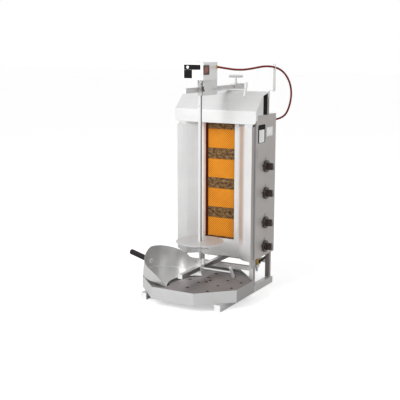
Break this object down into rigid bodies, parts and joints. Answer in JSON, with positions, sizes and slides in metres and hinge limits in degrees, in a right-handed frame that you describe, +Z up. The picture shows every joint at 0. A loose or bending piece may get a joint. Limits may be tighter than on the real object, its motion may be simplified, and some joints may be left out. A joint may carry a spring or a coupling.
{
  "type": "doner kebab grill",
  "caption": "Upright gas doner kebab grill with a turning square spit under a motor, slanted reflectors round stacked burner plaques, side knobs, a drip tray and a meat scoop.",
  "frame": {"origin": "on the surface that it stands on, under the middle of the outline seen from above, without the cord", "axes": "+Z up, +Y to the back, +X to the knob side"},
  "size_m": [0.621, 0.6874, 1.041],
  "materials": {
    "satin_steel": "satin",
    "pale_steel": "satin",
    "panel_steel": "satin",
    "motor_steel": "satin",
    "tray_steel": "satin",
    "spit_steel": "bright",
    "white_plastic": "plain",
    "grey_brown_metal": "heat stained",
    "orange_ceramic": "fine dots",
    "pipe_metal": "plain",
    "brass": "plain",
    "black_plastic": "glossy",
    "rocker_red": "glossy",
    "cord_red": "smooth",
    "screw_steel": "bright"
  },
  "bodies": {
    "frame": {"base_rail_left": "satin_steel", "base_rail_right": "satin_steel", "end_caps": "white_plastic", "front_posts": "satin_steel", "rear_uprights": "satin_steel", "cross_tubes": "satin_steel", "rear_column": "satin_steel", "lower_arm": "satin_steel", "upper_arm": "satin_steel", "arm_sleeve": "satin_steel", "housing_shell": "pale_steel", "control_panel": "panel_steel", "rear_cover": "satin_steel", "front_apron": "pale_steel", "wing_left": "pale_steel", "wing_right": "pale_steel", "hood": "pale_steel", "hood_masts": "satin_steel", "burner_frame": "grey_brown_metal", "ceramic_plaques": "orange_ceramic", "burner_bodies": "satin_steel", "gas_manifold": "pipe_metal", "gas_taps": "brass", "burner_pipes": "pipe_metal", "gas_cock": "brass", "housing_gland": "black_plastic", "power_cord": "cord_red", "cord_hook": "panel_steel", "panel_screws": "screw_steel"},
    "drive": {"motor_carriage": "panel_steel", "motor_base": "satin_steel", "motor_cover": "motor_steel", "gear_motor": "motor_steel", "switch_frame": "black_plastic", "motor_gland": "brass", "lid_screws": "screw_steel"},
    "switch_rocker": {"rocker": "rocker_red"},
    "spit": {"spit_rod": "spit_steel", "drive_coupling": "spit_steel", "plate_bar": "spit_steel"},
    "plate": {"meat_plate": "spit_steel"},
    "release": {"release_lever": "black_plastic"},
    "bearing": {"bearing_carriage": "panel_steel", "bearing_cup": "spit_steel"},
    "top_clamp": {"arm_clamp": "black_plastic"},
    "drive_clamp": {"carriage_clamp": "black_plastic"},
    "low_clamp": {"bearing_clamp": "black_plastic"},
    "cock": {"cock_lever": "black_plastic"},
    "pan": {"drip_pan": "tray_steel"},
    "cover": {"drip_cover": "tray_steel"},
    "scoop": {"meat_scoop": "spit_steel", "scoop_handle": "black_plastic"},
    "plug_1": {"tap_plug_1": "brass"},
    "knob_body_1": {"knob_1": "black_plastic"},
    "plug_2": {"tap_plug_2": "brass"},
    "knob_body_2": {"knob_2": "black_plastic"},
    "plug_3": {"tap_plug_3": "brass"},
    "knob_body_3": {"knob_3": "black_plastic"},
    "plug_4": {"tap_plug_4": "brass"},
    "knob_body_4": {"knob_4": "black_plastic"}
  },
  "joints": [
    {"name": "drive_slide", "type": "slide", "parent": "frame", "child": "drive", "axis": [0, 1, 0], "range_m": [-0.1, 0.05], "deforming": ["power_cord"]},
    {"name": "bearing_slide", "type": "slide", "parent": "frame", "child": "bearing", "axis": [0, 1, 0], "range_m": [-0.1, 0.05]},
    {"name": "spit_turn", "type": "hinge", "parent": "drive", "child": "spit", "pos_m": [0.0596, -0.082, 0.5], "axis": [0, 0, 1], "continuous": true},
    {"name": "plate_lift", "type": "slide", "parent": "spit", "child": "plate", "axis": [0, 0, 1], "range_m": [0, 0.1]},
    {"name": "release_swing", "type": "hinge", "parent": "drive", "child": "release", "pos_m": [0.0746, -0.098, 0.957], "axis": [0, 1, 0], "range_deg": [-25, 0]},
    {"name": "rocker_tip", "type": "hinge", "parent": "drive", "child": "switch_rocker", "pos_m": [0.1116, -0.123, 1.0075], "axis": [0, 1, 0], "range_deg": [0, 9]},
    {"name": "top_clamp_turn", "type": "hinge", "parent": "frame", "child": "top_clamp", "pos_m": [0.0596, 0.259, 0.95], "axis": [0, 0, 1], "range_deg": [-180, 180]},
    {"name": "drive_clamp_turn", "type": "hinge", "parent": "drive", "child": "drive_clamp", "pos_m": [0.1596, 0.012, 0.9215], "axis": [1, 0, 0], "range_deg": [-180, 180]},
    {"name": "low_clamp_turn", "type": "hinge", "parent": "bearing", "child": "low_clamp", "pos_m": [0.1596, -0.082, 0.1274], "axis": [1, 0, 0], "range_deg": [-180, 180]},
    {"name": "cock_turn", "type": "hinge", "parent": "frame", "child": "cock", "pos_m": [0.251, 0.14, 0.1305], "axis": [1, 0, 0], "range_deg": [-90, 0]},
    {"name": "pan_pull", "type": "slide", "parent": "frame", "child": "pan", "axis": [0, -1, 0], "range_m": [0, 0.3]},
    {"name": "cover_lift", "type": "slide", "parent": "pan", "child": "cover", "axis": [0, 0, 1], "range_m": [0, 0.015]},
    {"name": "scoop_away", "type": "slide", "parent": "cover", "child": "scoop", "axis": [-0.9743, 0.1894, 0.1219], "range_m": [0, 0.3]},
    {"name": "tap_turn_1", "type": "hinge", "parent": "frame", "child": "plug_1", "pos_m": [0.2396, 0.1775, 0.1973], "axis": [1, 0, 0], "range_deg": [0, 180]},
    {"name": "knob_press_1", "type": "slide", "parent": "plug_1", "child": "knob_body_1", "axis": [-1, 0, 0], "range_m": [0, 0.002], "stiffness_N_per_m": 600},
    {"name": "tap_turn_2", "type": "hinge", "parent": "frame", "child": "plug_2", "pos_m": [0.2396, 0.1775, 0.3093], "axis": [1, 0, 0], "range_deg": [0, 180]},
    {"name": "knob_press_2", "type": "slide", "parent": "plug_2", "child": "knob_body_2", "axis": [-1, 0, 0], "range_m": [0, 0.002], "stiffness_N_per_m": 600},
    {"name": "tap_turn_3", "type": "hinge", "parent": "frame", "child": "plug_3", "pos_m": [0.2396, 0.1775, 0.4468], "axis": [1, 0, 0], "range_deg": [0, 180]},
    {"name": "knob_press_3", "type": "slide", "parent": "plug_3", "child": "knob_body_3", "axis": [-1, 0, 0], "range_m": [0, 0.002], "stiffness_N_per_m": 600},
    {"name": "tap_turn_4", "type": "hinge", "parent": "frame", "child": "plug_4", "pos_m": [0.2396, 0.1775, 0.5703], "axis": [1, 0, 0], "range_deg": [0, 180]},
    {"name": "knob_press_4", "type": "slide", "parent": "plug_4", "child": "knob_body_4", "axis": [-1, 0, 0], "range_m": [0, 0.002], "stiffness_N_per_m": 600}
  ],
  "couplings": [
    {"joint": "bearing_slide", "follows": "drive_slide", "ratio": 1}
  ]
}
